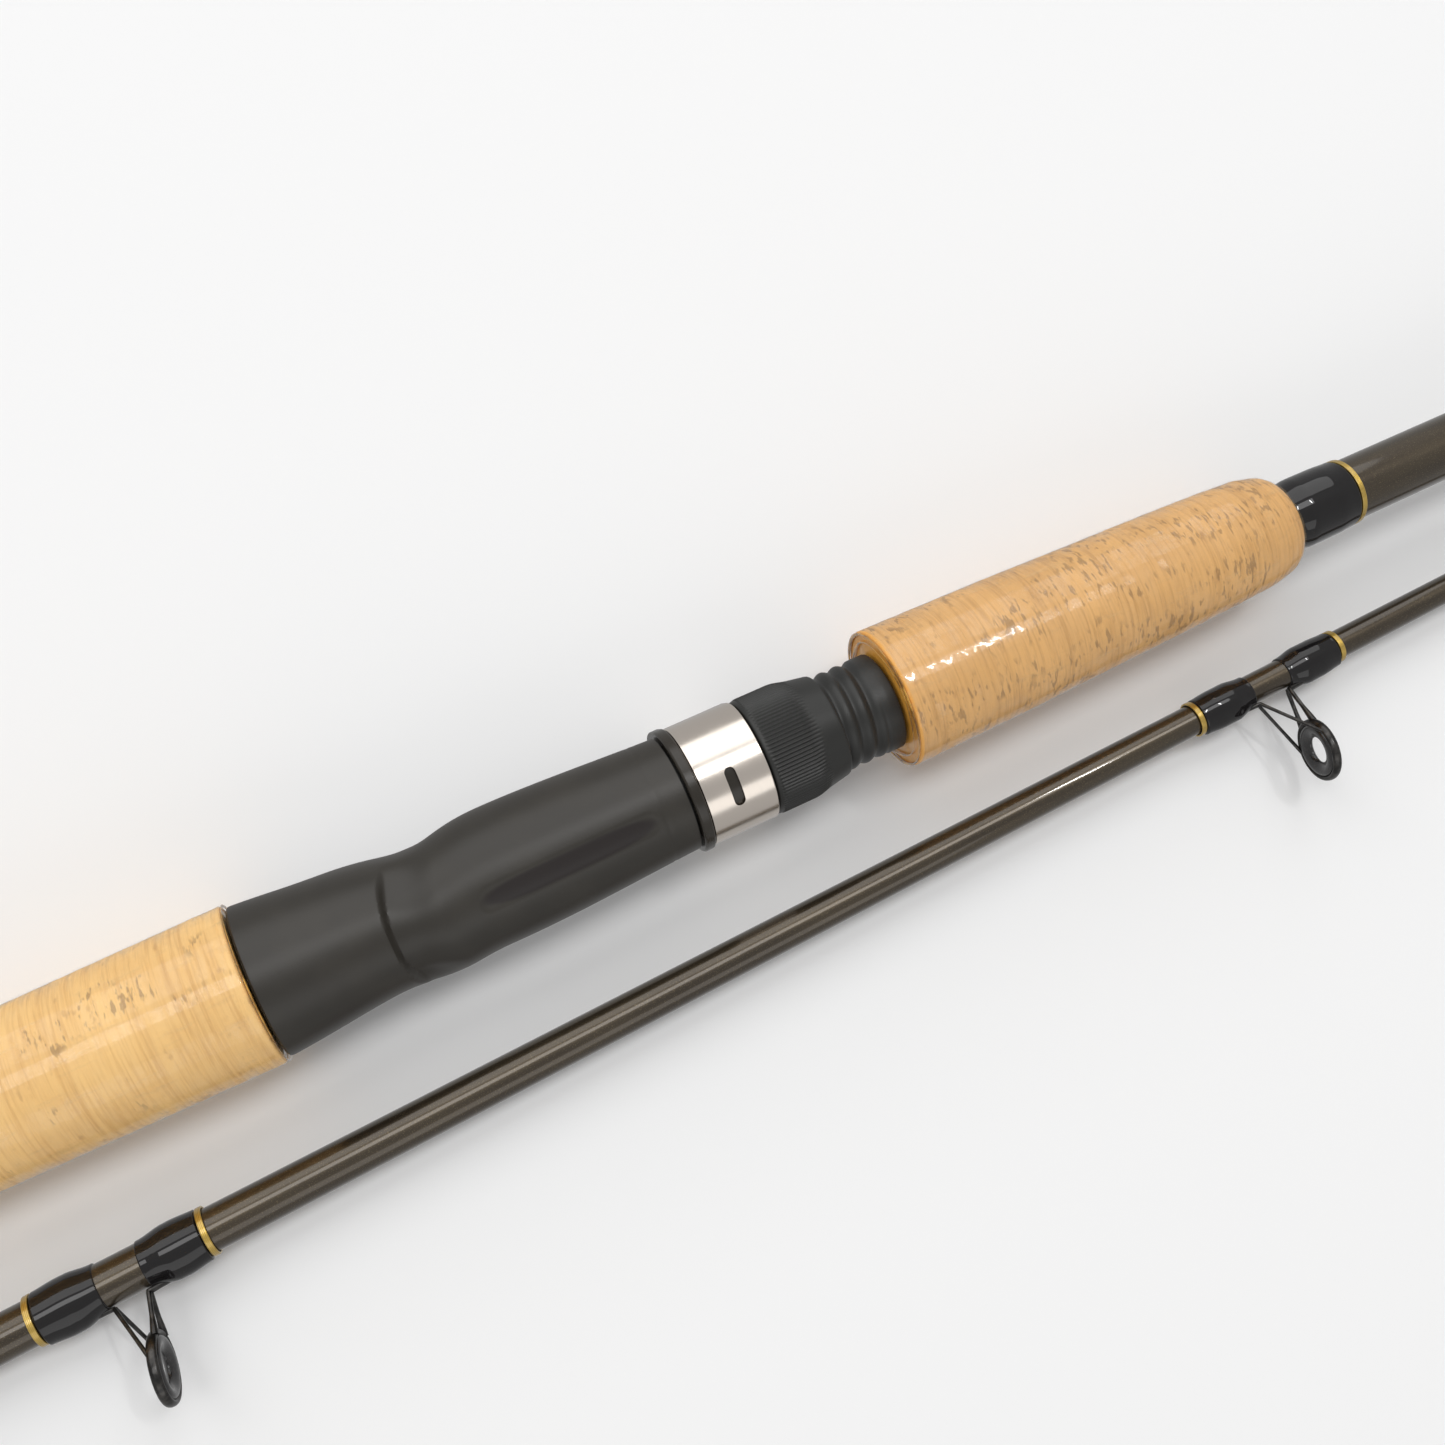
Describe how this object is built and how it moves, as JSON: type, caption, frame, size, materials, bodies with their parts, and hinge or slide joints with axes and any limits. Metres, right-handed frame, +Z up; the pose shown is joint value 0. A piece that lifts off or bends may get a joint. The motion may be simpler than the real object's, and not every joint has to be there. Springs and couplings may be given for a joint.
{
  "type": "spinning rod",
  "caption": "Two-piece spinning rod with cork grips, a screw-locking reel seat and ring line guides, taken down with its sections side by side.",
  "frame": {"origin": "centre of the butt cap's flat end face, on the handle section's axis", "axes": "+X along the handle section from the butt to its upper end, +Z up from the surface that the rod lies on, +Y away from the tip section"},
  "size_m": [1.1652, 0.0969, 0.0327],
  "materials": {
    "cork": "turned cork, fine grain and pits, under clear film",
    "clear_film": "clear glossy shrink film, creased at its ends",
    "black_rubber": "matte moulded rubber",
    "black_plastic": "satin moulded plastic, soft lengthwise sheen",
    "stainless_steel": "polished stainless sheet",
    "brown_blank": "dark metallic brown lacquer over carbon fibre",
    "black_wrap": "black thread under thick clear epoxy",
    "gold_trim": "metallic gold thread under epoxy",
    "dark_guide_metal": "dark plated stainless wire",
    "guide_ring_ceramic": "polished dark grey ceramic"
  },
  "bodies": {
    "handle_section": {"butt_cap": "black_rubber", "fore_grip": "cork", "fore_grip_film": "clear_film", "fore_trim": "gold_trim", "fore_wrap": "black_wrap", "front_arbor": "black_plastic", "handle_blank": "brown_blank", "rear_arbor": "black_plastic", "rear_grip": "cork", "rear_grip_film": "clear_film", "reel_seat_body": "black_plastic", "seat_pipe": "black_plastic"},
    "hood": {"hood_liner": "black_plastic", "hood_band": "stainless_steel"},
    "lock_nut": {"lock_nut": "black_plastic"},
    "tip_section": {"ferrule_trim": "gold_trim", "ferrule_wrap": "black_wrap", "guide_2_frame": "dark_guide_metal", "guide_2_front_trim": "gold_trim", "guide_2_front_wrap": "black_wrap", "guide_2_rear_trim": "gold_trim", "guide_2_rear_wrap": "black_wrap", "guide_2_ring": "guide_ring_ceramic", "guide_3_frame": "dark_guide_metal", "guide_3_front_trim": "gold_trim", "guide_3_front_wrap": "black_wrap", "guide_3_rear_trim": "gold_trim", "guide_3_rear_wrap": "black_wrap", "guide_3_ring": "guide_ring_ceramic", "guide_4_frame": "dark_guide_metal", "guide_4_front_trim": "gold_trim", "guide_4_front_wrap": "black_wrap", "guide_4_rear_trim": "gold_trim", "guide_4_rear_wrap": "black_wrap", "guide_4_ring": "guide_ring_ceramic", "guide_5_frame": "dark_guide_metal", "guide_5_front_trim": "gold_trim", "guide_5_front_wrap": "black_wrap", "guide_5_rear_trim": "gold_trim", "guide_5_rear_wrap": "black_wrap", "guide_5_ring": "guide_ring_ceramic", "guide_6_frame": "dark_guide_metal", "guide_6_front_trim": "gold_trim", "guide_6_front_wrap": "black_wrap", "guide_6_rear_trim": "gold_trim", "guide_6_rear_wrap": "black_wrap", "guide_6_ring": "guide_ring_ceramic", "stripper_guide_frame": "dark_guide_metal", "stripper_guide_front_trim": "gold_trim", "stripper_guide_front_wrap": "black_wrap", "stripper_guide_rear_trim": "gold_trim", "stripper_guide_rear_wrap": "black_wrap", "stripper_guide_ring": "guide_ring_ceramic", "tip_blank": "brown_blank", "tip_top_frame": "dark_guide_metal", "tip_top_ring": "guide_ring_ceramic", "tip_top_trim": "gold_trim", "tip_top_wrap": "black_wrap"}
  },
  "joints": [
    {"name": "nut_turn", "type": "hinge", "parent": "hood", "child": "lock_nut", "pos_m": [0.3868, 0, 0], "axis": [1, 0, 0], "range_deg": [0, 1285]},
    {"name": "hood_slide", "type": "slide", "parent": "handle_section", "child": "hood", "axis": [1, 0, 0], "range_m": [0, 0.0114]},
    {"name": "tip_draw", "type": "slide", "parent": "handle_section", "child": "tip_section", "axis": [0.9995, 0.0314, 0], "range_m": [0, 1.1]}
  ],
  "couplings": [
    {"joint": "nut_turn", "follows": "hood_slide", "rad_per_m": 1963.5}
  ]
}
